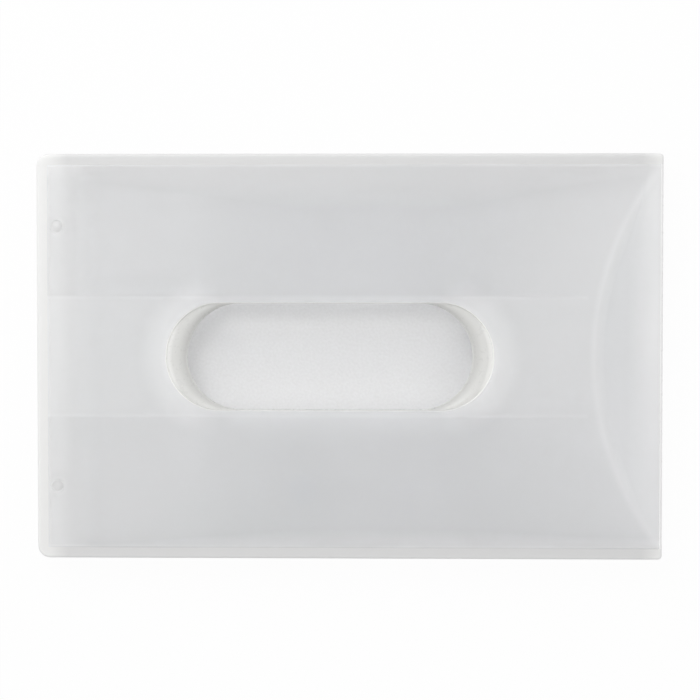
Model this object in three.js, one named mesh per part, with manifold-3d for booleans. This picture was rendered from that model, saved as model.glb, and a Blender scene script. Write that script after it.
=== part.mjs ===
// Clear card holder: a rigid sleeve for a few cards, moulded in frosted polypropylene as two covers.
// Millimetres. X runs from the closed end to the mouth, Y across, Z from the rear face to the front face.
// The origin is the middle of the rear face.
import * as THREE from "three";
import { mergeVertices } from "three/addons/utils/BufferGeometryUtils.js";
import Module from "manifold-3d";

// Overall sizes
const holderLength = 92;
const holderWidth = 59.6;
const pocketDepth = 4.5; // from the rear panel to the front panel
const frontPanel = 1.4;
const rearPanel = 1.3;
const wall = 1.6; // the two long sides and the closed end
const endCornerRadius = 1.8;
const mouthCornerRadius = 0.6;
const edgeRound = 0.4; // outer edges of both faces

// Thumb slot in the front panel
const slotLength = 48; // from rim to rim
const slotWidth = 15.6;
const slotShift = -2.8; // middle of the slot from the middle of the holder
const rollLength = 3; // how far the rim rolls over into the pocket at each end of the slot
const slotLand = 0.1; // upright edge below the rolled ends
const slotStep = 0.25; // from the front face down to the rolled ends
const slotRimChamfer = 0.2;

// Two ribs under the front panel
const ribSpacing = 17.4;
const ribWidth = 0.5;
const ribHeight = 0.3;
const ribSetback = 11.2; // from the mouth
const ribClearance = 0.2; // in the notches of the seat

// Thumb notch in the mouth edge of the rear panel, as wide as the pocket
const notchDepth = 10;

// Lap joint between the covers
const seamHeight = 3.2; // above the rear face
const seamGap = 0.1;
const lipThickness = 0.7;
const lipHeight = 1.2;
const lipSetback = 1.2; // from the mouth
const lapClearance = 0.15;

// Seat and pegs at the closed end
const seatWidth = 2.6;
const seatChamfer = 0.8;
const seatGap = 0.1;
const pegDiameter = 1.3;
const pegSpacing = 38.2;
const pegInset = 1.4; // from the closed end's inner face
const pegDomeHeight = 0.25;
const pegSkin = 0.9; // of the front panel over the sockets
const pegClearance = 0.1;
const dimpleDiameter = 2.4;
const dimpleDepth = 0.12;
const pipDiameter = 1.5; // the low dome in the middle of each dimple

// Smoothness of round stretches
const cornerSteps = 4;
const edgeSteps = 3;
const slotEndSteps = 16;
const notchSteps = 180;
const pegSteps = 24;
const rollSteps = 5;
const dimpleSteps = 4;

const beyond = 1; // how far a cut runs past the face it opens
const leastRadius = 0.05;
const mergeDistance = 1e-4;

// Places that follow from the sizes
const mouth = holderLength / 2;
const pocketEnd = wall - holderLength / 2;
const pocketSide = holderWidth / 2 - wall;
const pocketTop = rearPanel + pocketDepth;
const frontFace = pocketTop + frontPanel;
const seatFront = pocketEnd + seatWidth;
const seatTop = pocketTop - seatGap;
const lipTop = seamHeight + lipHeight;
const sides = [-1, 1];

const wasm = await Module();
wasm.setup();

// A closed three.js geometry as a solid that can be joined and cut.
function solidOf(geometry) {
  geometry.deleteAttribute("normal");
  geometry.deleteAttribute("uv");
  const merged = mergeVertices(geometry, mergeDistance);
  const corners = merged.index.array;
  const kept = [];
  for (let i = 0; i < corners.length; i += 3) {
    const [a, b, c] = corners.slice(i, i + 3);
    if (a !== b && b !== c && c !== a) kept.push(a, b, c);
  }
  return new wasm.Manifold(
    new wasm.Mesh({
      numProp: 3,
      vertProperties: merged.attributes.position.array,
      triVerts: new Uint32Array(kept),
    }),
  );
}

function blockOf(low, high) {
  const size = high.map((value, axis) => value - low[axis]);
  const middle = high.map((value, axis) => (value + low[axis]) / 2);
  return solidOf(new THREE.BoxGeometry(...size).translate(...middle));
}

function roundBar(radius, steps, [x, y], low, high) {
  const bar = new THREE.CylinderGeometry(radius, radius, high - low, steps);
  return solidOf(bar.rotateX(Math.PI / 2).translate(x, y, (low + high) / 2));
}

// A closed solid through level rings of points, lowest first, all with as many points turning left.
function loftOf(rings) {
  const count = rings[0].points.length;
  const position = rings.flatMap(({ points, z }) => points.flatMap(({ x, y }) => [x, y, z]));
  const index = [];
  for (let ring = 0; ring < rings.length - 1; ring++) {
    for (let i = 0; i < count; i++) {
      const here = ring * count + i;
      const next = ring * count + ((i + 1) % count);
      index.push(here, next, next + count, here, next + count, here + count);
    }
  }
  const top = (rings.length - 1) * count;
  for (const [a, b, c] of THREE.ShapeUtils.triangulateShape(rings[0].points, [])) {
    index.push(c, b, a, top + a, top + b, top + c);
  }
  const geometry = new THREE.BufferGeometry();
  geometry.setAttribute("position", new THREE.Float32BufferAttribute(position, 3));
  geometry.setIndex(index);
  return solidOf(geometry);
}

// The holder's outline from the front, drawn in on every side.
function outlineOf(inset) {
  const endRadius = Math.max(endCornerRadius - inset, leastRadius);
  const mouthRadius = Math.max(mouthCornerRadius - inset, leastRadius);
  const endX = inset - mouth + endRadius;
  const endY = holderWidth / 2 - inset - endRadius;
  const mouthX = mouth - inset - mouthRadius;
  const mouthY = holderWidth / 2 - inset - mouthRadius;
  const turn = Math.PI / 2;
  const outline = new THREE.Path();
  outline.absarc(mouthX, -mouthY, mouthRadius, -turn, 0);
  outline.absarc(mouthX, mouthY, mouthRadius, 0, turn);
  outline.absarc(endX, endY, endRadius, turn, 2 * turn);
  outline.absarc(endX, -endY, endRadius, 2 * turn, 3 * turn);
  return outline.getPoints(cornerSteps);
}

function plateOf(inset, low, high) {
  const points = outlineOf(inset);
  return loftOf([
    { points, z: low },
    { points, z: high },
  ]);
}

// The whole holder as a slab with its outer edges rounded.
function slab() {
  const lower = [];
  const upper = [];
  for (let step = 0; step <= edgeSteps; step++) {
    const angle = ((step / edgeSteps) * Math.PI) / 2;
    const points = outlineOf(edgeRound * (1 - Math.sin(angle)));
    const rise = edgeRound * (1 - Math.cos(angle));
    lower.push({ points, z: rise });
    upper.unshift({ points, z: frontFace - rise });
  }
  return loftOf([...lower, ...upper]);
}

function slotOutline(length, width) {
  const radius = width / 2;
  const endX = length / 2 - radius;
  const outline = new THREE.Path();
  outline.absarc(slotShift + endX, 0, radius, -Math.PI / 2, Math.PI / 2);
  outline.absarc(slotShift - endX, 0, radius, Math.PI / 2, (3 * Math.PI) / 2);
  return outline.getPoints(slotEndSteps);
}

// What the thumb slot takes out of the front panel: upright sides, and a rim that rolls over at each end.
function slotCut() {
  const inner = slotOutline(slotLength - 2 * rollLength, slotWidth);
  const rim = slotOutline(slotLength, slotWidth);
  const chamfered = slotOutline(slotLength + 2 * slotRimChamfer, slotWidth + 2 * slotRimChamfer);
  const foot = pocketTop + slotLand;
  const rise = frontFace - slotStep - foot;
  const rolled = [];
  for (let step = 0; step <= rollSteps; step++) {
    const angle = ((step / rollSteps) * Math.PI) / 2;
    const shorter = 2 * rollLength * Math.cos(angle);
    rolled.push({ points: slotOutline(slotLength - shorter, slotWidth), z: foot + rise * Math.sin(angle) });
  }
  return loftOf([
    { points: inner, z: pocketTop - beyond },
    ...rolled,
    { points: rim, z: frontFace - slotRimChamfer },
    { points: chamfered, z: frontFace },
    { points: chamfered, z: frontFace + beyond },
  ]);
}

function notchCut() {
  const radius = (pocketSide ** 2 + notchDepth ** 2) / (2 * notchDepth);
  const middle = [mouth - notchDepth + radius, 0];
  return roundBar(radius, notchSteps, middle, -beyond, rearPanel + beyond);
}

function ribBlock(side, clearance) {
  const middle = (side * ribSpacing) / 2;
  const half = ribWidth / 2 + clearance;
  return blockOf(
    [pocketEnd - wall / 2, middle - half, pocketTop - ribHeight - clearance],
    [mouth - ribSetback, middle + half, pocketTop + frontPanel / 2],
  );
}

function pegPlace(side) {
  return [pocketEnd + pegInset, (side * pegSpacing) / 2];
}

// A peg with a domed end, turned about its own axis, that ends just short of its socket.
function peg(side) {
  const [x, y] = pegPlace(side);
  const radius = pegDiameter / 2;
  const top = frontFace - pegSkin - pegClearance;
  const profile = [new THREE.Vector2(0, seatTop - beyond)];
  for (let step = 0; step <= edgeSteps; step++) {
    const angle = ((step / edgeSteps) * Math.PI) / 2;
    profile.push(new THREE.Vector2(radius * Math.cos(angle), top - pegDomeHeight * (1 - Math.sin(angle))));
  }
  profile.splice(1, 0, new THREE.Vector2(radius, seatTop - beyond));
  const turned = new THREE.LatheGeometry(profile, pegSteps);
  return solidOf(turned.rotateX(Math.PI / 2).translate(x, y, 0));
}

// The round mark that the front face shows over a socket: a shallow dimple with a low dome in its middle.
function dimple(side) {
  const [x, y] = pegPlace(side);
  const pip = pipDiameter / 2;
  const edge = dimpleDiameter / 2;
  const profile = [];
  for (let step = 0; step <= 2 * dimpleSteps; step++) {
    const share = step / dimpleSteps;
    const radius = share < 1 ? pip * share : pip + (edge - pip) * (share - 1);
    const depth = (dimpleDepth * (1.1 - Math.cos(share * Math.PI))) / 2.1;
    profile.push(new THREE.Vector2(radius, frontFace - depth));
  }
  profile.push(new THREE.Vector2(edge, frontFace + beyond), new THREE.Vector2(0, frontFace + beyond));
  const turned = new THREE.LatheGeometry(profile, pegSteps);
  return solidOf(turned.rotateX(Math.PI / 2).translate(x, y, 0));
}

// The bar that the front panel sits on, clear of the front cover's walls, with a sloping inner edge.
function seat() {
  const bar = plateOf(wall + lapClearance, seamHeight, seatTop);
  const reach = holderWidth / 2;
  const section = new THREE.Shape([
    new THREE.Vector2(-mouth, rearPanel),
    new THREE.Vector2(seatFront, rearPanel),
    new THREE.Vector2(seatFront, seatTop - seatChamfer),
    new THREE.Vector2(seatFront - seatChamfer, seatTop),
    new THREE.Vector2(-mouth, seatTop),
  ]);
  const length = new THREE.ExtrudeGeometry(section, { depth: 2 * reach, bevelEnabled: false });
  return bar.intersect(solidOf(length.rotateX(Math.PI / 2).translate(0, reach, 0)));
}

function rearCover() {
  const reach = holderWidth;
  const belowSeam = blockOf([-reach, -reach, -beyond], [reach, reach, seamHeight]);
  const lipLength = blockOf([-reach, -reach, rearPanel], [mouth - lipSetback, reach, lipTop]);
  const lip = plateOf(wall - lipThickness, rearPanel, lipTop).intersect(lipLength);
  const pocket = blockOf([seatFront, -pocketSide, rearPanel], [mouth + beyond, pocketSide, frontFace]);
  let cover = slab().intersect(belowSeam).add(lip).subtract(pocket).subtract(notchCut()).add(seat());
  for (const side of sides) {
    cover = cover.subtract(ribBlock(side, ribClearance)).add(peg(side));
  }
  return cover;
}

function frontCover() {
  const reach = holderWidth;
  const aboveSeam = blockOf([-reach, -reach, seamHeight + seamGap], [reach, reach, frontFace + beyond]);
  const lapLength = blockOf(
    [-reach, -reach, rearPanel],
    [mouth - lipSetback + lapClearance, reach, lipTop + lapClearance],
  );
  const lap = plateOf(wall - lipThickness - lapClearance, rearPanel, lipTop + lapClearance);
  const mouthPocket = blockOf([0, -pocketSide, rearPanel], [mouth + beyond, pocketSide, pocketTop]);
  const pocket = plateOf(wall, rearPanel, pocketTop).add(mouthPocket);
  const socketRadius = (pegDiameter + 2 * pegClearance) / 2;
  let cover = slab().intersect(aboveSeam).subtract(lap.intersect(lapLength)).subtract(pocket);
  cover = cover.subtract(slotCut());
  for (const side of sides) {
    const socket = roundBar(socketRadius, pegSteps, pegPlace(side), pocketTop - beyond, frontFace - pegSkin);
    cover = cover.subtract(socket).subtract(dimple(side)).add(ribBlock(side, 0));
  }
  return cover;
}

function meshOf(name, solid, material) {
  const { vertProperties, triVerts } = solid.getMesh();
  const geometry = new THREE.BufferGeometry();
  geometry.setAttribute("position", new THREE.BufferAttribute(vertProperties, 3));
  geometry.setIndex(new THREE.BufferAttribute(triVerts, 1));
  geometry.computeVertexNormals();
  const mesh = new THREE.Mesh(geometry, material);
  mesh.name = name;
  return mesh;
}

// Frosted polypropylene: pale, slightly blue-grey, light shows through it.
function frostedPlastic(color) {
  return new THREE.MeshStandardMaterial({
    color,
    roughness: 0.5,
    metalness: 0,
    transparent: true,
    opacity: 0.6,
  });
}

const cardHolder = new THREE.Group();
cardHolder.add(meshOf("rear_cover", rearCover(), frostedPlastic(0xdedfe0)));
cardHolder.add(meshOf("front_cover", frontCover(), frostedPlastic(0xd5d6d9)));

export default cardHolder;
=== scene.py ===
"""Clear card holder: a rigid frosted sleeve of two moulded covers, lying on a white table."""
import math
import bmesh
import bpy
from mathutils import Matrix, Vector


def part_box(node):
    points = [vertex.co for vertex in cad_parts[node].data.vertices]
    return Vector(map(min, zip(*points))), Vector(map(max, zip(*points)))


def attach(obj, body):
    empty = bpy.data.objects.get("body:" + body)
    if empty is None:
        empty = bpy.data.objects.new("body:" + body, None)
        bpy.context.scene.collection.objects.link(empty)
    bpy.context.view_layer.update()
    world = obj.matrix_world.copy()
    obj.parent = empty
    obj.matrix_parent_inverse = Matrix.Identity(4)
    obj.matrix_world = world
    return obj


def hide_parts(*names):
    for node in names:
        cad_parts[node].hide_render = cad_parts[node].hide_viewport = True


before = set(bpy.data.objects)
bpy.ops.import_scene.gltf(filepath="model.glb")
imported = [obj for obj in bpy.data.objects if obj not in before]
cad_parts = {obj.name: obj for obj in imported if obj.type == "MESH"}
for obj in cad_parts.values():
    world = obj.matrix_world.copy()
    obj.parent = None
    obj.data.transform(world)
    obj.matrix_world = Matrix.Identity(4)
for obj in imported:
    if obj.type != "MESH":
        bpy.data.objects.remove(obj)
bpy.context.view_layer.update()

MM = 0.001
scene = bpy.context.scene
scene.view_settings.view_transform = "Standard"

# Overall places in millimetres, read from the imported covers
front_low, front_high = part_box("front_cover")
HALF_LENGTH = front_high.x / MM
HALF_WIDTH = front_high.y / MM
FRONT_FACE = front_high.z / MM
FRONT_SEAM = front_low.z / MM

# Walls and panels, in millimetres, as the solids have them
WALL = 1.6
FRONT_PANEL = 1.4
REAR_PANEL = 1.3
SEAM_GAP = 0.1
END_CORNER = 1.8
MOUTH_CORNER = 0.6
EDGE_ROUND = 0.4
POCKET_END = WALL - HALF_LENGTH
POCKET_SIDE = HALF_WIDTH - WALL
POCKET_TOP = FRONT_FACE - FRONT_PANEL
REAR_SEAM = FRONT_SEAM - SEAM_GAP

# Broken edges at the seam, fillets in the pocket and the rounded lip at the mouth, too small for the solids
SEAM_CHAMFER = 0.12
POCKET_FILLET = 0.3
MOUTH_LIP = 0.45

# Lap joint between the covers
LIP_THICKNESS = 0.7
LIP_TOP = REAR_SEAM + 1.2
LIP_END = HALF_LENGTH - 1.2
LAP_CLEARANCE = 0.15

# Thumb slot in the front panel
SLOT_LENGTH = 48.0
SLOT_WIDTH = 15.6
SLOT_MIDDLE = -2.8
SLOT_RAMP = 3.0
SLOT_LAND = 0.1
SLOT_STEP = 0.25
SLOT_RIM = 0.2

# Thumb notch in the mouth edge of the rear panel, as wide as the pocket
NOTCH_DEPTH = 10.0
NOTCH_RADIUS = (POCKET_SIDE ** 2 + NOTCH_DEPTH ** 2) / (2 * NOTCH_DEPTH)
NOTCH_EDGE = 0.25

# Ribs, seat and pegs
RIB_SPACING = 17.4
RIB_WIDTH = 0.5
RIB_CREST = 0.34
RIB_HEIGHT = 0.3
SINK_WIDTH = 0.3
SINK_DEPTH = 0.01
RIB_END = HALF_LENGTH - 11.2
RIB_CLEARANCE = 0.2
SEAT_FRONT = POCKET_END + 2.6
SEAT_TOP = POCKET_TOP - 0.1
SEAT_CHAMFER = 0.8
PEG_X = POCKET_END + 1.4
PEG_SPACING = 38.2
PEG_DIAMETER = 1.3
PEG_GAP = 0.1
PEG_DOME = 0.25
SOCKET_TOP = FRONT_FACE - 0.9
PEG_TOP = SOCKET_TOP - 0.1
DIMPLE_DIAMETER = 2.0
DIMPLE_DEPTH = 0.08
PIP_DIAMETER = 1.7

# Faint round mark that an ejector pin left under the front panel
PIN_MARK_PLACE = (-6.8, -19.8)
PIN_MARK_DIAMETER = 4.2
PIN_MARK_DEPTH = 0.12

CORNER_STEPS = 8
EDGE_STEPS = 5
SLOT_STEPS = 32
RAMP_STEPS = 16
NOTCH_STEPS = 256
PEG_STEPS = 32
BEYOND = 1.0
LEAST_RADIUS = 0.05
TOUCH = 0.001


# Helpers for shapes, all in millimetres until a mesh is made

def arc(middle, radius, start, turn, steps):
    """Points of an arc in a plane, both ends among them, angles in quarter turns."""
    points = []
    for step in range(steps + 1):
        angle = (start + turn * step / steps) * math.pi / 2
        points.append((middle[0] + radius * math.cos(angle), middle[1] + radius * math.sin(angle)))
    return points


def quarter_round(radius):
    """Pairs of how far a rounded edge has come in and up, from its upright face to its level one."""
    pairs = []
    for step in range(EDGE_STEPS + 1):
        angle = step / EDGE_STEPS * math.pi / 2
        pairs.append((radius * (1 - math.cos(angle)), radius * math.sin(angle)))
    return pairs


def holder_outline(inset, height):
    """The holder's outline from the front, drawn in on every side, as a level ring."""
    end = max(END_CORNER - inset, LEAST_RADIUS)
    mouth = max(MOUTH_CORNER - inset, LEAST_RADIUS)
    reach_x = HALF_LENGTH - inset
    reach_y = HALF_WIDTH - inset
    flat = arc((reach_x - mouth, mouth - reach_y), mouth, -1, 1, CORNER_STEPS)
    flat += arc((reach_x - mouth, reach_y - mouth), mouth, 0, 1, CORNER_STEPS)
    flat += arc((end - reach_x, reach_y - end), end, 1, 1, CORNER_STEPS)
    flat += arc((end - reach_x, end - reach_y), end, 2, 1, CORNER_STEPS)
    return [(x, y, height) for x, y in flat]


def slot_outline(grow, shorter, height):
    """The thumb slot's outline, a bar with round ends, as a level ring."""
    radius = SLOT_WIDTH / 2 + grow
    end = (SLOT_LENGTH - SLOT_WIDTH) / 2 - shorter
    flat = arc((SLOT_MIDDLE + end, 0), radius, -1, 2, SLOT_STEPS)
    flat += arc((SLOT_MIDDLE - end, 0), radius, 1, 2, SLOT_STEPS)
    return [(x, y, height) for x, y in flat]


def pocket_section(place, grow, low, high):
    """A section across the pocket, a rectangle with rounded corners, as an upright ring."""
    radius = POCKET_FILLET
    reach = POCKET_SIDE + grow - radius
    bottom = low - grow + radius
    top = high + grow - radius
    flat = arc((reach, bottom), radius, -1, 1, EDGE_STEPS)
    flat += arc((reach, top), radius, 0, 1, EDGE_STEPS)
    flat += arc((-reach, top), radius, 1, 1, EDGE_STEPS)
    flat += arc((-reach, bottom), radius, 2, 1, EDGE_STEPS)
    return [(place, y, z) for y, z in flat]


def disc_outline(middle, radius, height, steps):
    """A circle as a level ring."""
    flat = arc(middle, radius, 0, 4, steps)[:-1]
    return [(x, y, height) for x, y in flat]


def loft(name, rings):
    """A closed object through rings of points in millimetres, all with as many points."""
    shape = bmesh.new()
    loops = [[shape.verts.new(Vector(point) * MM) for point in ring] for ring in rings]
    count = len(loops[0])
    for lower, upper in zip(loops, loops[1:]):
        for i in range(count):
            j = (i + 1) % count
            shape.faces.new((lower[i], lower[j], upper[j], upper[i]))
    shape.faces.new(loops[0][::-1])
    shape.faces.new(loops[-1])
    bmesh.ops.recalc_face_normals(shape, faces=shape.faces)
    return object_of(name, shape)


def object_of(name, shape):
    """Makes an object of a shape, which is used up."""
    mesh = bpy.data.meshes.new(name)
    shape.to_mesh(mesh)
    shape.free()
    piece = bpy.data.objects.new(name, mesh)
    scene.collection.objects.link(piece)
    return piece


def block(name, low, high):
    """A plain block, only ever used to cut or to be cut."""
    rings = []
    for z in (low[2], high[2]):
        rings.append([(low[0], low[1], z), (high[0], low[1], z), (high[0], high[1], z), (low[0], high[1], z)])
    return loft(name, rings)


def plain_mesh(piece):
    """Replaces an object's mesh by what its modifiers make of it, and removes them."""
    evaluated = piece.evaluated_get(bpy.context.evaluated_depsgraph_get())
    mesh = bpy.data.meshes.new_from_object(evaluated)
    piece.modifiers.clear()
    piece.data = mesh


def combine(piece, steps):
    """Joins, cuts or keeps the shared part of a piece with other shapes, which are used up."""
    for operation, other in steps:
        modifier = piece.modifiers.new(other.name, "BOOLEAN")
        modifier.operation = operation
        modifier.solver = "EXACT"
        modifier.object = other
    plain_mesh(piece)
    for operation, other in steps:
        bpy.data.objects.remove(other)
    return piece


# Materials

def linear(code):
    """An sRGB hex colour as linear values."""
    values = [int(code[i:i + 2], 16) / 255 for i in (1, 3, 5)]
    return [v / 12.92 if v <= 0.04045 else ((v + 0.055) / 1.055) ** 2.4 for v in values] + [1.0]


def add(tree, kind, values=None, links=None, **settings):
    """Adds one node with its settings, its input values and its links."""
    node = tree.nodes.new(kind)
    for name, value in settings.items():
        setattr(node, name, value)
    for name, value in (values or {}).items():
        node.inputs[name].default_value = value
    for name, socket in (links or {}).items():
        tree.links.new(socket, node.inputs[name])
    return node


def frosted_polypropylene(name, pale, cloudy_tone_and_painted_shade, see_through, scatter, polish, grain, grain_height):
    """Natural polypropylene: milky inside, so part of the light scatters and part passes blurred.

    see_through is the share that passes, scatter how far the rest spreads, polish the range of roughness,
    grain the size of the surface's texture and grain_height its depth, with lengths in millimetres.
    """
    material = bpy.data.materials.new(name)
    material.use_nodes = True
    tree = material.node_tree
    tree.nodes.clear()
    place = add(tree, "ShaderNodeTexCoord", name="place")
    flow = add(tree, "ShaderNodeMapping", {"Scale": (0.45, 1.0, 1.0)}, {"Vector": place.outputs["Object"]})
    clouds = add(tree, "ShaderNodeTexNoise", {
        "Scale": 1 / (CLOUD_SIZE * MM),
        "Detail": 3.0,
        "Roughness": 0.5,
    }, {"Vector": flow.outputs[0]})
    colour = add(tree, "ShaderNodeValToRGB", links={"Fac": clouds.outputs["Fac"]}, name="colour")
    colour.color_ramp.elements[0].position = 0.35
    colour.color_ramp.elements[0].color = linear(cloudy_tone_and_painted_shade)
    colour.color_ramp.elements[1].position = 0.65
    colour.color_ramp.elements[1].color = linear(pale)
    texture = add(tree, "ShaderNodeTexNoise", {
        "Scale": 1 / (grain * MM),
        "Detail": 2.0,
        "Roughness": 0.6,
    }, {"Vector": place.outputs["Object"]}, name="grain")
    rough = add(tree, "ShaderNodeMapRange", {
        "From Min": 0.3,
        "From Max": 0.7,
        "To Min": polish[0],
        "To Max": polish[1],
    }, {"Value": texture.outputs["Fac"]})
    bump = add(tree, "ShaderNodeBump", {"Strength": 1.0, "Distance": grain_height * MM},
               {"Height": texture.outputs["Fac"]})
    # Light that comes from inside the plastic always gets out
    side = add(tree, "ShaderNodeNewGeometry")
    passing = add(tree, "ShaderNodeMath", {1: see_through}, {0: side.outputs["Backfacing"]},
                  operation="MAXIMUM", name="passing")
    shader = add(tree, "ShaderNodeBsdfPrincipled", {
        "IOR": 1.49,
        "Subsurface Weight": 1.0,
        "Subsurface Radius": (scatter * MM,) * 3,
        "Subsurface Scale": 1.0,
    }, {
        "Base Color": colour.outputs["Color"],
        "Roughness": rough.outputs["Result"],
        "Normal": bump.outputs["Normal"],
        "Transmission Weight": passing.outputs[0],
    }, subsurface_method="RANDOM_WALK", name="shader")
    add(tree, "ShaderNodeOutputMaterial", links={"Surface": shader.outputs[0]})
    return material


def painted_light_by_milkiness(material, least):
    """Lets less light through the front panel near its edges and ribs and over the edge of the thumb notch.
    There light comes into the panel from the side, or the plastic is thicker, so the panel looks whiter. It
    is also painted light: the panel is made whiter towards the closed end, the mouth, the upper wall and the
    lamp's side, round the slot and over the pegs.
    """
    tree = material.node_tree
    parts = add(tree, "ShaderNodeSeparateXYZ", links={0: tree.nodes["place"].outputs["Object"]})
    x = parts.outputs["X"]
    y = parts.outputs["Y"]
    across = add(tree, "ShaderNodeMath", links={0: y}, operation="ABSOLUTE").outputs[0]

    # Distance from the thumb slot's straight middle line
    along = add(tree, "ShaderNodeMath", {1: SLOT_MIDDLE * MM}, {0: x}, operation="SUBTRACT")
    away = add(tree, "ShaderNodeMath", links={0: along.outputs[0]}, operation="ABSOLUTE")
    past = add(tree, "ShaderNodeMath", {1: (SLOT_LENGTH - SLOT_WIDTH) / 2 * MM}, {0: away.outputs[0]},
               operation="SUBTRACT")
    end = add(tree, "ShaderNodeMath", {1: 0.0}, {0: past.outputs[0]}, operation="MAXIMUM")
    from_slot = add(tree, "ShaderNodeCombineXYZ", links={"X": end.outputs[0], "Y": y})
    slot = add(tree, "ShaderNodeVectorMath", links={0: from_slot.outputs[0]}, operation="LENGTH")
    at_slot_end = add(tree, "ShaderNodeMapRange", {"From Max": SLOT_WIDTH / 2 * MM, "To Max": SLOT_END_SHARE},
                      {"Value": end.outputs[0]})
    upper_side = add(tree, "ShaderNodeMapRange", {
        "From Min": -LIT_REACH * MM,
        "From Max": LIT_REACH * MM,
        "To Max": UPPER_RIM_SHARE,
    }, {"Value": y})
    at_slot_rim = add(tree, "ShaderNodeMapRange", {"From Max": SLOT_WIDTH / 2 * MM, "To Max": END_RIM_SHARE},
                      {"Value": end.outputs[0], "To Min": upper_side.outputs["Result"]})

    # Distance from the nearer rib and from the nearer peg
    beside = add(tree, "ShaderNodeMath", {1: RIB_SPACING / 2 * MM}, {0: across}, operation="SUBTRACT")
    from_rib = add(tree, "ShaderNodeMath", links={0: beside.outputs[0]}, operation="ABSOLUTE")
    past_rib = add(tree, "ShaderNodeMath", {1: RIB_END * MM}, {0: x}, operation="SUBTRACT")
    rib = add(tree, "ShaderNodeMath", links={0: from_rib.outputs[0], 1: past_rib.outputs[0]},
              operation="MAXIMUM")
    either_peg = add(tree, "ShaderNodeCombineXYZ", links={"X": x, "Y": across})
    peg_place = (PEG_X * MM, PEG_SPACING / 2 * MM, 0.0)
    peg = add(tree, "ShaderNodeVectorMath", {1: peg_place}, {0: either_peg.outputs[0]}, operation="DISTANCE")

    # Distance from the thumb notch's edge, more than nothing where the rear panel lies below
    notch_middle = (HALF_LENGTH - NOTCH_DEPTH + NOTCH_RADIUS) * MM
    from_middle = add(tree, "ShaderNodeMath", {1: notch_middle}, {0: x}, operation="SUBTRACT")
    to_notch = add(tree, "ShaderNodeCombineXYZ", links={"X": from_middle.outputs[0], "Y": y})
    radius = add(tree, "ShaderNodeVectorMath", links={0: to_notch.outputs[0]}, operation="LENGTH")
    notch = add(tree, "ShaderNodeMath", {1: NOTCH_RADIUS * MM}, {0: radius.outputs["Value"]},
                operation="SUBTRACT")
    notch_line = add(tree, "ShaderNodeMath", links={0: notch.outputs[0]}, operation="ABSOLUTE")

    # Shares that change from place to place, as painted light: more on the lamp's side, and between the ribs
    # beyond the slot
    by_lamp = {}
    for name, least_share, most_share in (("over_rear_panel", 0.1, 0.32), ("mouth", 0.06, 0.62)):
        by_lamp[name] = add(tree, "ShaderNodeMapRange", {
            "From Min": -POCKET_SIDE * MM,
            "From Max": LIT_REACH * MM,
            "To Min": least_share,
            "To Max": most_share,
        }, {"Value": y}).outputs["Result"]
    over_rear_panel = add(tree, "ShaderNodeMapRange", {"From Min": -NOTCH_BLUR * MM, "From Max": 0.0},
                          {"Value": notch.outputs[0], "To Max": by_lamp["over_rear_panel"]})
    past_slot = add(tree, "ShaderNodeMapRange", {
        "From Min": STRIP_START * MM,
        "From Max": STRIP_FULL * MM,
        "To Max": STRIP_SHARE,
    }, {"Value": away.outputs[0]})
    between_ribs = add(tree, "ShaderNodeMapRange", {"From Max": STRIP_FADE * MM},
                       {"Value": notch.outputs[0], "To Max": past_slot.outputs["Result"]})

    # Each row has its name, how it joins the rows before it, a place or distance, where along that the
    # plastic is milkiest, how far the milky place reaches from there, and how milky it is at most
    share = None
    for name, operation, place, edge, reach, most in (
        ("closed half", "MAXIMUM", x, POCKET_END, 40.0, 0.3),
        ("mouth", "MAXIMUM", x, HALF_LENGTH, -5.5, by_lamp["mouth"]),
        ("upper wall", "MAXIMUM", y, POCKET_SIDE, -7.0, 0.4),
        ("long walls", "MAXIMUM", across, POCKET_SIDE, -3.0, 0.28),
        ("rear panel", "MAXIMUM", notch.outputs[0], 0.0, 26.0, over_rear_panel.outputs["Result"]),
        ("seat", "ADD", x, POCKET_END, 8.0, 0.36),
        ("end wall", "ADD", x, POCKET_END, 0.6, 0.2),
        ("feet of the long walls", "ADD", across, POCKET_SIDE, -0.6, 0.12),
        ("slot ends", "ADD", slot.outputs["Value"], SLOT_WIDTH / 2, 5.0, at_slot_end.outputs["Result"]),
        ("slot rim", "ADD", slot.outputs["Value"], SLOT_WIDTH / 2, 1.2, at_slot_rim.outputs["Result"]),
        ("strip between the ribs", "ADD", across, RIB_SPACING / 2, 0.4, between_ribs.outputs["Result"]),
        ("ribs", "ADD", rib.outputs[0], 0.0, 0.5, 0.05),
        ("pegs", "ADD", peg.outputs["Value"], 0.0, 1.8, 0.4),
        ("edge of the notch", "ADD", notch_line.outputs[0], 0.0, 1.0, 0.06),
    ):
        near = add(tree, "ShaderNodeMapRange", {
            "From Min": (edge + reach) * MM,
            "From Max": edge * MM,
        }, {"Value": place}, interpolation_type="SMOOTHSTEP", name=name)
        if isinstance(most, float):
            near.inputs["To Max"].default_value = most
        else:
            tree.links.new(most, near.inputs["To Max"])
        if share is None:
            share = near.outputs["Result"]
        else:
            share = add(tree, "ShaderNodeMath", links={0: share, 1: near.outputs["Result"]},
                        operation=operation).outputs[0]
    passing = tree.nodes["passing"]
    milky = add(tree, "ShaderNodeMapRange", {"To Min": passing.inputs[1].default_value, "To Max": least},
                {"Value": share})
    tree.links.new(milky.outputs["Result"], passing.inputs[1])


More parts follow.
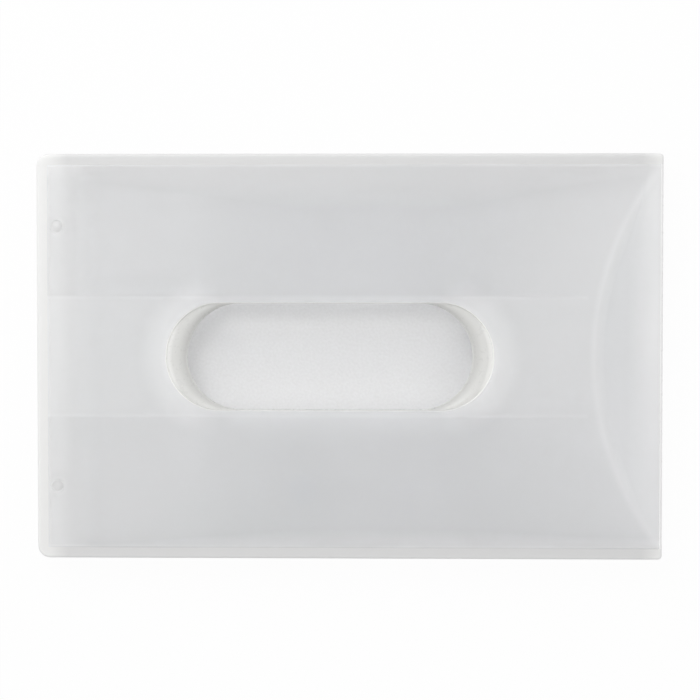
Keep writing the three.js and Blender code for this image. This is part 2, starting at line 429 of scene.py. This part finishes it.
def painted_light_under_slot(material):
    """Lets the floor pass less light below the slot's edges, so it is whiter there, and more beside it:
    painted light over the shade that the front panel throws below its edges, and painted shade beside them.
    """
    tree = material.node_tree
    passing = tree.nodes["passing"]
    parts = add(tree, "ShaderNodeSeparateXYZ", links={0: tree.nodes["place"].outputs["Object"]})
    across = add(tree, "ShaderNodeMapRange", {
        "From Min": -FLOOR_REACH * MM,
        "From Max": FLOOR_REACH * MM,
    }, {"Value": parts.outputs["Y"]})
    shares = add(tree, "ShaderNodeValToRGB", links={"Fac": across.outputs["Result"]})
    stops = shares.color_ramp.elements
    for place, share in FLOOR_PAINTED_SHARES:
        stop = stops.new((place / FLOOR_REACH + 1) / 2)
        stop.color = (share, share, share, 1.0)
    stops.remove(stops[0])
    stops.remove(stops[-1])
    closed_end = add(tree, "ShaderNodeMapRange", {
        "From Min": FLOOR_END[0] * MM,
        "From Max": FLOOR_END[1] * MM,
    }, {"Value": parts.outputs["X"]})
    below = add(tree, "ShaderNodeMath", links={
        0: shares.outputs["Color"],
        1: closed_end.outputs["Result"],
    }, operation="MULTIPLY")
    along = add(tree, "ShaderNodeMath", {1: SLOT_MIDDLE * MM}, {0: parts.outputs["X"]}, operation="SUBTRACT")
    away = add(tree, "ShaderNodeMath", links={0: along.outputs[0]}, operation="ABSOLUTE")
    graded = add(tree, "ShaderNodeMapRange", {
        "From Min": (SLOT_LENGTH / 2 + FLOOR_FADE) * MM,
        "From Max": (SLOT_LENGTH / 2 - FLOOR_FADE) * MM,
        "To Min": passing.inputs[1].default_value,
    }, {"Value": away.outputs[0], "To Max": below.outputs[0]})
    tree.links.new(graded.outputs["Result"], passing.inputs[1])


def share_by_distance(tree, axis, middle, start, end, least=0.0):
    """A share that grows from least at start to all at end, by the distance from a middle along an axis."""
    parts = add(tree, "ShaderNodeSeparateXYZ", links={0: tree.nodes["place"].outputs["Object"]})
    along = add(tree, "ShaderNodeMath", {1: middle * MM}, {0: parts.outputs[axis]}, operation="SUBTRACT")
    away = add(tree, "ShaderNodeMath", links={0: along.outputs[0]}, operation="ABSOLUTE")
    share = add(tree, "ShaderNodeMapRange", {
        "From Min": start * MM,
        "From Max": end * MM,
        "To Min": least,
    }, {"Value": away.outputs[0]})
    return share.outputs["Result"]


def grade(material, axis, middle, start, end):
    """Grades a finish by the distance from a middle along an axis, from its darker colour at start to its
    pale one at end; on the walls and on the slot's rims and rolled ends this paints light and shade.
    """
    tree = material.node_tree
    colour = tree.nodes["colour"]
    colour.color_ramp.elements[0].position = 0.0
    colour.color_ramp.elements[1].position = 1.0
    tree.links.new(share_by_distance(tree, axis, middle, start, end), colour.inputs["Fac"])


def painted_shade_at_tips(material, start, end, least):
    """Paints shade on the tips of the slot's rolled ends: the darker shades that the finish has further down.
    """
    tree = material.node_tree
    shade = tree.nodes["colour"].inputs["Fac"]
    share = share_by_distance(tree, "X", SLOT_MIDDLE, start, end, least)
    lower = add(tree, "ShaderNodeMath", links={0: shade.links[0].from_socket, 1: share}, operation="MULTIPLY")
    tree.links.new(lower.outputs[0], shade)


# Soft clouds in the plastic, in millimetres
CLOUD_SIZE = 14.0

# Places of the milky shares on the front panel, in millimetres, and the shares themselves
LIT_REACH = 4.0
NOTCH_BLUR = 1.5
STRIP_START = 14.0
STRIP_FULL = 20.0
STRIP_FADE = 12.0
STRIP_SHARE = 0.1
SLOT_END_SHARE = 0.37
UPPER_RIM_SHARE = 0.15
END_RIM_SHARE = 0.12

# How much light the floor passes, by the distance from the slot's long middle plane in millimetres: painted
# light and shade, whiter below the slot's edges where the front panel shades the floor
FLOOR_REACH = 22.0
FLOOR_PAINTED_SHARES = (
    (-18.0, 0.12), (-13.0, 0.25), (-9.0, 0.45), (-8.0, 0.0), (-6.0, 0.0), (-2.0, 0.2),
    (1.0, 0.27), (3.0, 0.2), (4.5, 0.0), (8.0, 0.0), (9.0, 0.45), (13.0, 0.25), (18.0, 0.12),
)
# Below the slot's end at the closed side it passes none, and these shares fade out past the slot
FLOOR_END = (-23.0, -19.5)
FLOOR_FADE = 2.0

# Outer faces, satin from a blasted and lightly polished mould: a soft sheen, and what lies just below shows
# through; the fine unevenness is drawn coarser than it is, so that it shows
satin_face = frosted_polypropylene(
    "satin_moulded_polypropylene", "#F7F9FE", "#F4F6FA", 0.6, 2.5, (0.16, 0.24), 0.6, 0.002)
painted_light_by_milkiness(satin_face, 0.05)
# Underside of the front panel, spark-eroded: a fine even grain that blurs whatever lies further behind, drawn
# coarser than it is
grained_face = frosted_polypropylene(
    "spark_eroded_polypropylene", "#FCFCFC", "#F8F8F8", 0.9, 2.5, (0.4, 0.55), 0.22, 0.004)
# Inner face of the rear panel, spark-eroded too, and whitened by the table that it lies on: the grain is
# drawn coarser than it is, so that it shows as a fine speckle
grained_floor = frosted_polypropylene(
    "backed_polypropylene", "#FCFCFC", "#F6F6F6", 0.12, 1.0, (0.6, 0.85), 0.4, 0.02)
floor_nodes = grained_floor.node_tree.nodes
grained_floor.node_tree.links.new(floor_nodes["grain"].outputs["Fac"], floor_nodes["colour"].inputs["Fac"])
painted_light_under_slot(grained_floor)
# Walls, with more plastic in the line of sight: milky, and painted lightest at the two ends, as painted light
wall_edge = frosted_polypropylene(
    "thick_milky_polypropylene", "#EFEFEE", "#DFDFDF", 0.0, 0.6, (0.45, 0.55), 0.6, 0.0005)
WALL_LIGHT_GRADE = (HALF_LENGTH - WALL - 2.25, HALF_LENGTH - WALL + 0.75)
WALL_LIGHT_MIDDLE = 0.75
grade(wall_edge, "X", WALL_LIGHT_MIDDLE, *WALL_LIGHT_GRADE)
# Seat and pegs, milky as the walls and painted pale all over, as painted light, so that no shade shows at the
# pegs through the panel
seat_face = frosted_polypropylene(
    "pale_milky_polypropylene", "#F0F0EF", "#ECECEB", 0.0, 0.6, (0.45, 0.55), 0.6, 0.0005)
# Cut edges of the panels, painted light as a glow where light runs along the plastic and comes out
painted_glow_edge = frosted_polypropylene(
    "light_edge_polypropylene", "#FAFAF9", "#F6F6F5", 0.0, 0.4, (0.25, 0.35), 0.6, 0.0005)
# Rim of the thumb slot: a painted highlight, a fine bright line round its two ends, greyer along the straight
# sides
slot_rim_highlight = frosted_polypropylene(
    "light_rim_polypropylene", "#F3F3F1", "#DEDEDD", 0.0, 1.5, (0.25, 0.35), 0.6, 0.0005)
RIM_PAINTED_GRADE = (SLOT_LENGTH / 2 - 6, SLOT_LENGTH / 2 - 1)
grade(slot_rim_highlight, "X", SLOT_MIDDLE, *RIM_PAINTED_GRADE)
# Lower side of the slot's rim: painted shade, greyer along its straight part, so that no bright line shows
# there where the lamp lights it
low_rim_shaded = frosted_polypropylene(
    "thin_rim_polypropylene", "#F3F3F1", "#D6D6D5", 0.0, 0.6, (0.25, 0.35), 0.6, 0.0005)
grade(low_rim_shaded, "X", SLOT_MIDDLE, *RIM_PAINTED_GRADE)
# Rolled ends of the thumb slot: satin with painted shade, pale at the rim, greyer half-way down and a little
# paler at the foot
slot_slope_shaded = frosted_polypropylene(
    "rolled_rim_polypropylene", "#F3F3F1", "#E0E0DE", 0.0, 0.6, (0.25, 0.35), 0.6, 0.0005)
grade(slot_slope_shaded, "Z", POCKET_TOP, SLOT_LAND, FRONT_PANEL - SLOT_STEP)
for height, shade in ((0.45, "#D3D3D1"), (0.71, "#D9D9D7"), (0.87, "#E1E1DF"), (0.97, "#E3E3E1")):
    stop = slot_slope_shaded.node_tree.nodes["colour"].color_ramp.elements.new(height)
    stop.color = linear(shade)
TIP_SHADE_GRADE = (SLOT_LENGTH / 2 - 5, SLOT_LENGTH / 2 - 1)
painted_shade_at_tips(slot_slope_shaded, *TIP_SHADE_GRADE, 0.92)

FINISHES = [
    satin_face, grained_face, grained_floor, wall_edge, seat_face, painted_glow_edge, slot_rim_highlight, low_rim_shaded, slot_slope_shaded]
SATIN, GRAINED, FLOOR, WALLS, SEAT, EDGE_GLOW, RIM_HIGHLIGHT, LOW_RIM_SHADED, SLOPE_SHADED = range(len(FINISHES))


# Ribs and pegs, repeated across the holder by geometry nodes

def nodes_piece(name, inputs, build):
    """A mesh made by a geometry node tree whose named inputs hold its sizes."""
    tree = bpy.data.node_groups.new(name, "GeometryNodeTree")
    tree.interface.new_socket("Geometry", in_out="OUTPUT", socket_type="NodeSocketGeometry")
    sockets = {}
    for label, (kind, value) in inputs.items():
        sockets[label] = tree.interface.new_socket(label, in_out="INPUT", socket_type=kind)
    entry = add(tree, "NodeGroupInput")
    shape = build(tree, entry.outputs)
    real = add(tree, "GeometryNodeRealizeInstances", links={"Geometry": shape})
    finish = add(tree, "GeometryNodeSetMaterial", {"Material": grained_face}, {"Geometry": real.outputs[0]})
    add(tree, "NodeGroupOutput", links={"Geometry": finish.outputs[0]})
    piece = bpy.data.objects.new(name, bpy.data.meshes.new(name))
    scene.collection.objects.link(piece)
    modifier = piece.modifiers.new(name, "NODES")
    modifier.node_group = tree
    for label, (kind, value) in inputs.items():
        modifier[sockets[label].identifier] = value
    plain_mesh(piece)
    return piece


def points_across(tree, sizes):
    """A row of points across the holder, centred on its long middle plane."""
    gaps = add(tree, "ShaderNodeMath", {1: 1.0}, {0: sizes["Count"]}, operation="SUBTRACT")
    width = add(tree, "ShaderNodeMath", links={0: gaps.outputs[0], 1: sizes["Spacing"]}, operation="MULTIPLY")
    edge = add(tree, "ShaderNodeMath", {1: -0.5}, {0: width.outputs[0]}, operation="MULTIPLY")
    first = add(tree, "ShaderNodeCombineXYZ", links={"Y": edge.outputs[0]})
    step = add(tree, "ShaderNodeCombineXYZ", links={"Y": sizes["Spacing"]})
    row = add(tree, "GeometryNodeMeshLine", links={
        "Count": sizes["Count"], "Start Location": first.outputs[0], "Offset": step.outputs[0]})
    return row.outputs[0]


def rib_shape(tree, sizes):
    """Straight ribs of a tapered section, hanging from the panel with their roots sunk in it."""
    start = add(tree, "ShaderNodeCombineXYZ", links={"X": sizes["Start"], "Z": sizes["Level"]})
    end = add(tree, "ShaderNodeCombineXYZ", links={"X": sizes["End"], "Z": sizes["Level"]})
    line = add(tree, "GeometryNodeCurvePrimitiveLine", links={
        "Start": start.outputs[0], "End": end.outputs[0]})
    upright = add(tree, "GeometryNodeSetCurveNormal", links={"Curve": line.outputs[0]}, mode="Z_UP")
    section = add(tree, "GeometryNodeCurvePrimitiveQuadrilateral", {"Offset": 0.0}, {
        "Bottom Width": sizes["Width"],
        "Top Width": sizes["Crest"],
        "Height": sizes["Height"],
    }, mode="TRAPEZOID")
    rib = add(tree, "GeometryNodeCurveToMesh", {"Fill Caps": True}, {
        "Curve": upright.outputs[0], "Profile Curve": section.outputs[0]})
    copies = add(tree, "GeometryNodeInstanceOnPoints", links={
        "Points": points_across(tree, sizes), "Instance": rib.outputs[0]})
    return copies.outputs[0]


def rib_pair(name, start, low, high, crest, width):
    """Two bars where the ribs run, as wide as crest at their low side and as width at their high side."""
    return nodes_piece(name, {
        "Count": ("NodeSocketInt", 2),
        "Spacing": ("NodeSocketFloat", RIB_SPACING * MM),
        "Start": ("NodeSocketFloat", start * MM),
        "End": ("NodeSocketFloat", RIB_END * MM),
        "Level": ("NodeSocketFloat", (low + high) / 2 * MM),
        "Width": ("NodeSocketFloat", width * MM),
        "Crest": ("NodeSocketFloat", crest * MM),
        "Height": ("NodeSocketFloat", (high - low) * MM),
    }, rib_shape)


def ribs():
    """The ribs themselves, with their roots sunk in the panel and the wall."""
    low = POCKET_TOP - RIB_HEIGHT
    return rib_pair("ribs", POCKET_END - WALL / 2, low, POCKET_TOP + FRONT_PANEL / 2, RIB_CREST, RIB_WIDTH)


def rib_notches():
    """Room for the ribs in the seat of the rear cover."""
    low = POCKET_TOP - RIB_HEIGHT - RIB_CLEARANCE
    width = RIB_WIDTH + 2 * RIB_CLEARANCE
    return rib_pair("rib_notches", POCKET_END - WALL / 2, low, POCKET_TOP + FRONT_PANEL, width, width)


def sink_lines():
    """The hair-fine hollows that the front face shows over its ribs, where the thicker plastic shrank."""
    low = FRONT_FACE - SINK_DEPTH
    return rib_pair("sink_lines", POCKET_END, low, FRONT_FACE + BEYOND, SINK_WIDTH, SINK_WIDTH)


def copies_of_shape(tree, sizes):
    """Copies of another object's shape on the row of points."""
    shape = add(tree, "GeometryNodeObjectInfo", links={"Object": sizes["Shape"]})
    copies = add(tree, "GeometryNodeInstanceOnPoints", links={
        "Points": points_across(tree, sizes), "Instance": shape.outputs["Geometry"]})
    return copies.outputs[0]


def pair_across(shape):
    """One copy of a shape at each peg, in place of the shape itself."""
    pair = nodes_piece(shape.name + "_pair", {
        "Count": ("NodeSocketInt", 2),
        "Spacing": ("NodeSocketFloat", PEG_SPACING * MM),
        "Shape": ("NodeSocketObject", shape),
    }, copies_of_shape)
    bpy.data.objects.remove(shape)
    return pair


# Cutters and details

def pocket_cutter(start, low, high):
    """The card pocket, filleted at its closed end and flared at the mouth to leave a rounded lip."""
    rings = []
    for inward, along in reversed(quarter_round(POCKET_FILLET)):
        rings.append(pocket_section(start + POCKET_FILLET - along, -inward, low, high))
    for outward, along in quarter_round(MOUTH_LIP):
        rings.append(pocket_section(HALF_LENGTH - MOUTH_LIP + along, outward, low, high))
    rings.append(pocket_section(HALF_LENGTH + BEYOND, MOUTH_LIP, low, high))
    return loft("pocket", rings)


def slot_cutter():
    """The thumb slot: upright sides with a round rim, and ends that roll over into the pocket."""
    rings = [slot_outline(0, SLOT_RAMP, POCKET_TOP - BEYOND)]
    foot = POCKET_TOP + SLOT_LAND
    rise = FRONT_FACE - SLOT_STEP - foot
    for step in range(RAMP_STEPS + 1):
        angle = step / RAMP_STEPS * math.pi / 2
        rings.append(slot_outline(0, SLOT_RAMP * math.cos(angle), foot + rise * math.sin(angle)))
    for outward, up in quarter_round(SLOT_RIM):
        rings.append(slot_outline(outward, 0, FRONT_FACE - SLOT_RIM + up))
    rings.append(slot_outline(SLOT_RIM, 0, FRONT_FACE + BEYOND))
    return loft("slot", rings)


def notch_cutter():
    """The crescent thumb notch in the rear panel, with rounded edges on both faces."""
    middle = (HALF_LENGTH - NOTCH_DEPTH + NOTCH_RADIUS, 0)
    levels = [(NOTCH_EDGE, -BEYOND)]
    levels += [(outward, NOTCH_EDGE - up) for outward, up in reversed(quarter_round(NOTCH_EDGE))]
    levels += [(outward, REAR_PANEL - NOTCH_EDGE + up) for outward, up in quarter_round(NOTCH_EDGE)]
    levels.append((NOTCH_EDGE, REAR_PANEL + LEAST_RADIUS))
    return loft("notch", [disc_outline(middle, NOTCH_RADIUS + grow, z, NOTCH_STEPS) for grow, z in levels])


def seat_bar():
    """The bar at the closed end that the front panel sits on, with sloping upper edges."""
    back = POCKET_END + LAP_CLEARANCE
    reach = POCKET_SIDE - LAP_CLEARANCE
    section = [
        (back, REAR_SEAM - BEYOND),
        (SEAT_FRONT, REAR_SEAM - BEYOND),
        (SEAT_FRONT, SEAT_TOP - SEAT_CHAMFER),
        (SEAT_FRONT - SEAT_CHAMFER, SEAT_TOP),
        (back, SEAT_TOP),
    ]
    rings = []
    slope = LAP_CLEARANCE
    for y, lower in ((-reach, slope), (slope - reach, 0), (reach - slope, 0), (reach, slope)):
        rings.append([(x, y, z - lower) for x, z in section])
    return loft("seat", rings)


def peg():
    """A round peg with a domed end."""
    radius = PEG_DIAMETER / 2
    rings = [disc_outline((PEG_X, 0), radius, SEAT_TOP - BEYOND, PEG_STEPS)]
    for step in range(EDGE_STEPS + 1):
        angle = step / (EDGE_STEPS + 0.5) * math.pi / 2
        height = PEG_TOP - PEG_DOME * (1 - math.sin(angle))
        rings.append(disc_outline((PEG_X, 0), radius * math.cos(angle), height, PEG_STEPS))
    return loft("peg", rings)


def socket():
    """A peg's blind hole in the front panel."""
    radius = PEG_DIAMETER / 2 + PEG_GAP
    levels = (POCKET_TOP - BEYOND, SOCKET_TOP)
    return loft("socket", [disc_outline((PEG_X, 0), radius, z, PEG_STEPS) for z in levels])


def dimple():
    """The round mark on the front face over a socket: a shallow dimple with a low dome in its middle."""
    pip = PIP_DIAMETER / 2
    edge = DIMPLE_DIAMETER / 2
    rings = []
    for step in range(4 * EDGE_STEPS + 1):
        share = max(step / (2 * EDGE_STEPS), LEAST_RADIUS)
        away = pip * share if share < 1 else pip + (edge - pip) * (share - 1)
        depth = DIMPLE_DEPTH * (1.1 - math.cos(share * math.pi)) / 2.1
        rings.append(disc_outline((PEG_X, 0), away, FRONT_FACE - depth, PEG_STEPS))
    rings.append(disc_outline((PEG_X, 0), edge, FRONT_FACE + BEYOND, PEG_STEPS))
    return loft("dimple", rings)


def pin_mark():
    """The shallow round hollow that an ejector pin left."""
    levels = (POCKET_TOP - BEYOND, POCKET_TOP + PIN_MARK_DEPTH)
    rings = [disc_outline(PIN_MARK_PLACE, PIN_MARK_DIAMETER / 2, z, 2 * PEG_STEPS) for z in levels]
    return loft("pin_mark", rings)


def lap(name, inset, top, end):
    """What lies inside the lap joint's step, from the rear panel up, stopping short of the mouth."""
    plate = loft(name, [holder_outline(inset, z) for z in (REAR_PANEL, top)])
    reach = 2 * HALF_LENGTH
    return combine(plate, [("INTERSECT", block("short", (-reach, -reach, 0), (end, reach, reach)))])


# The two covers

def finish_cover(cover, node, body):
    """Splits the faces over the walls, gives each face its finish and puts the cover in the frame."""
    shape = bmesh.new()
    shape.from_mesh(cover.data)
    bmesh.ops.remove_doubles(shape, verts=shape.verts, dist=TOUCH * MM)
    for place, normal in ((POCKET_END, (1, 0, 0)), (POCKET_SIDE, (0, 1, 0)), (-POCKET_SIDE, (0, 1, 0))):
        geometry = shape.verts[:] + shape.edges[:] + shape.faces[:]
        bmesh.ops.bisect_plane(shape, geom=geometry, dist=TOUCH * MM, plane_co=Vector(normal) * place * MM,
                               plane_no=normal)
    for edge in shape.edges:
        edge.smooth = edge.calc_face_angle(0) < math.radians(35)
    for face in shape.faces:
        face.smooth = True
        face.material_index = finish_of(face)
    cover.data.materials.clear()
    for material in FINISHES:
        cover.data.materials.append(material)
    shape.to_mesh(cover.data)
    shape.free()
    even = cover.modifiers.new("even", "WEIGHTED_NORMAL")
    even.keep_sharp = True
    plain_mesh(cover)
    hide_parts(node)
    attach(cover, body)


def slot_reach(middle):
    """How far a place lies outside the thumb slot's rim, seen from the front."""
    along = max(abs(middle.x - SLOT_MIDDLE) - (SLOT_LENGTH - SLOT_WIDTH) / 2, 0)
    return math.hypot(along, middle.y) - SLOT_WIDTH / 2


def on_notch_edge(middle):
    """True on the edge of the rear panel round the thumb notch."""
    away = math.hypot(middle.x - (HALF_LENGTH - NOTCH_DEPTH + NOTCH_RADIUS), middle.y) - NOTCH_RADIUS
    return abs(away) < NOTCH_EDGE and middle.z < REAR_PANEL


def on_seat(middle):
    """True on the bar that the front panel sits on at the closed end."""
    return middle.x < SEAT_FRONT + LEAST_RADIUS and REAR_SEAM < middle.z < POCKET_TOP - LEAST_RADIUS


def at_peg(middle):
    """True on a peg and in its socket."""
    away = math.hypot(middle.x - PEG_X, abs(middle.y) - PEG_SPACING / 2)
    return away < PEG_DIAMETER / 2 + 2 * PEG_GAP and middle.z < SOCKET_TOP + LEAST_RADIUS


def finish_of(face):
    """The finish of a face, by where it lies."""
    middle = face.calc_center_median() / MM
    if middle.x < POCKET_END + TOUCH or abs(middle.y) > POCKET_SIDE - TOUCH:
        return WALLS
    # The mouth's edge and the notch's edge get the painted glow
    if middle.x > HALF_LENGTH - EDGE_ROUND or on_notch_edge(middle):
        return EDGE_GLOW
    if on_seat(middle) or all(at_peg(corner.co / MM) for corner in face.verts):
        return SEAT
    if POCKET_TOP + SLOT_LAND / 2 < middle.z < FRONT_FACE and slot_reach(middle) < SLOT_RIM:
        # A face of the slot's straight sides runs along all of them, so its middle is the slot's
        straight = abs(middle.x - SLOT_MIDDLE) < TOUCH
        # The slot's rim: a painted highlight at its ends, and painted shade along its lower straight side
        if slot_reach(middle) > TOUCH or straight:
            return LOW_RIM_SHADED if middle.y < 0 else RIM_HIGHLIGHT
        # The slot's rolled ends, with painted shade
        return SLOPE_SHADED
    if middle.z > POCKET_TOP + SLOT_LAND / 2 or middle.z < EDGE_ROUND:
        return SATIN
    return FLOOR if middle.z < REAR_SEAM else GRAINED


def front_cover():
    """The moulding with the thumb slot, which faces the viewer."""
    rings = [holder_outline(SEAM_CHAMFER, FRONT_SEAM), holder_outline(0, FRONT_SEAM + SEAM_CHAMFER)]
    for inward, up in quarter_round(EDGE_ROUND):
        rings.append(holder_outline(inward, FRONT_FACE - EDGE_ROUND + up))
    cover = loft("front_cover_moulding", rings)
    step = lap("step", WALL - LIP_THICKNESS - LAP_CLEARANCE, LIP_TOP + LAP_CLEARANCE, LIP_END + LAP_CLEARANCE)
    combine(cover, [
        ("DIFFERENCE", step),
        ("DIFFERENCE", pocket_cutter(POCKET_END, REAR_PANEL, POCKET_TOP)),
        ("DIFFERENCE", slot_cutter()),
        ("DIFFERENCE", pair_across(socket())),
        ("DIFFERENCE", pair_across(dimple())),
        ("DIFFERENCE", pin_mark()),
        ("UNION", ribs()),
        ("DIFFERENCE", sink_lines()),
    ])
    finish_cover(cover, "front_cover", "front")
    return cover


def rear_cover():
    """The moulding that lies on the table, with the thumb notch."""
    rings = [holder_outline(inward, EDGE_ROUND - up) for inward, up in reversed(quarter_round(EDGE_ROUND))]
    rings += [holder_outline(0, REAR_SEAM - SEAM_CHAMFER), holder_outline(SEAM_CHAMFER, REAR_SEAM)]
    cover = loft("rear_cover_moulding", rings)
    combine(cover, [
        ("UNION", lap("lip", WALL - LIP_THICKNESS, LIP_TOP, LIP_END)),
        ("DIFFERENCE", pocket_cutter(SEAT_FRONT, REAR_PANEL, FRONT_FACE + BEYOND)),
        ("DIFFERENCE", notch_cutter()),
        ("UNION", seat_bar()),
        ("DIFFERENCE", rib_notches()),
        ("UNION", pair_across(peg())),
    ])
    finish_cover(cover, "rear_cover", "rear")
    return cover


front_cover()
rear_cover()


# White table

TABLE_REACH = 1500.0
TABLE_GAP = 0.05
# How much of the table is plain white, and how much of it where it is seen through the plastic
TABLE_SHARE = 0.96
TABLE_SHARE_THROUGH_PLASTIC = 0.2


def white_table():
    """Matte white, shown as a white backdrop to the camera while it keeps part of the holder's shadow."""
    material = bpy.data.materials.new("matte_white_table")
    material.use_nodes = True
    tree = material.node_tree
    tree.nodes.clear()
    path = add(tree, "ShaderNodeLightPath")
    seen = add(tree, "ShaderNodeMath", links={
        0: path.outputs["Is Camera Ray"], 1: path.outputs["Is Glossy Ray"]}, operation="MAXIMUM")
    share = add(tree, "ShaderNodeMapRange", {
        "To Min": TABLE_SHARE,
        "To Max": TABLE_SHARE_THROUGH_PLASTIC,
    }, {"Value": path.outputs["Is Transmission Ray"]})
    white_share = add(tree, "ShaderNodeMath", links={0: seen.outputs[0], 1: share.outputs["Result"]},
                      operation="MULTIPLY")
    matte = add(tree, "ShaderNodeBsdfDiffuse", {"Color": linear("#F0F0F0")})
    white = add(tree, "ShaderNodeEmission", {"Strength": 1.0})
    both = add(tree, "ShaderNodeMixShader", links={
        0: white_share.outputs[0], 1: matte.outputs[0], 2: white.outputs[0]})
    add(tree, "ShaderNodeOutputMaterial", links={"Surface": both.outputs[0]})
    return material


table = block("table", (-TABLE_REACH, -TABLE_REACH, -1 - TABLE_GAP), (TABLE_REACH, TABLE_REACH, -TABLE_GAP))
table.data.materials.append(white_table())


# Studio light: even white all round, and a soft lamp beyond the upper long side, nearer the closed end

AMBIENT = 0.68
KEY_POWER = 0.37
KEY_SIZE = 0.2
KEY_PLACE = (-0.08, 0.16, 0.26)

world = bpy.data.worlds.new("studio")
world.use_nodes = True
world.node_tree.nodes["Background"].inputs["Color"].default_value = linear("#FFFFFF")
world.node_tree.nodes["Background"].inputs["Strength"].default_value = AMBIENT
scene.world = world

key = bpy.data.lights.new("key", "AREA")
key.size = KEY_SIZE
key.energy = KEY_POWER
key_lamp = bpy.data.objects.new("key", key)
key_lamp.location = KEY_PLACE
key_lamp.rotation_euler = (-Vector(KEY_PLACE)).to_track_quat("-Z", "Y").to_euler()
scene.collection.objects.link(key_lamp)


# Camera, almost straight above, framed on 700 by 700 pixels, in millimetres

CAMERA_PLACE = Vector((11.0, 14.4, 357.2))
CAMERA_AIM = Vector((0.2, 1.0, 7.2))
CAMERA_LENS = 122.7

camera = bpy.data.cameras.new("camera")
camera.sensor_width = 36.0
camera.lens = CAMERA_LENS
camera_stand = bpy.data.objects.new("camera", camera)
camera_stand.location = CAMERA_PLACE * MM
backwards = (CAMERA_PLACE - CAMERA_AIM).normalized()
rightwards = Vector((0, 1, 0)).cross(backwards).normalized()
camera_axes = Matrix((rightwards, backwards.cross(rightwards), backwards)).transposed()
camera_stand.rotation_euler = camera_axes.to_euler()
scene.collection.objects.link(camera_stand)
scene.camera = camera_stand
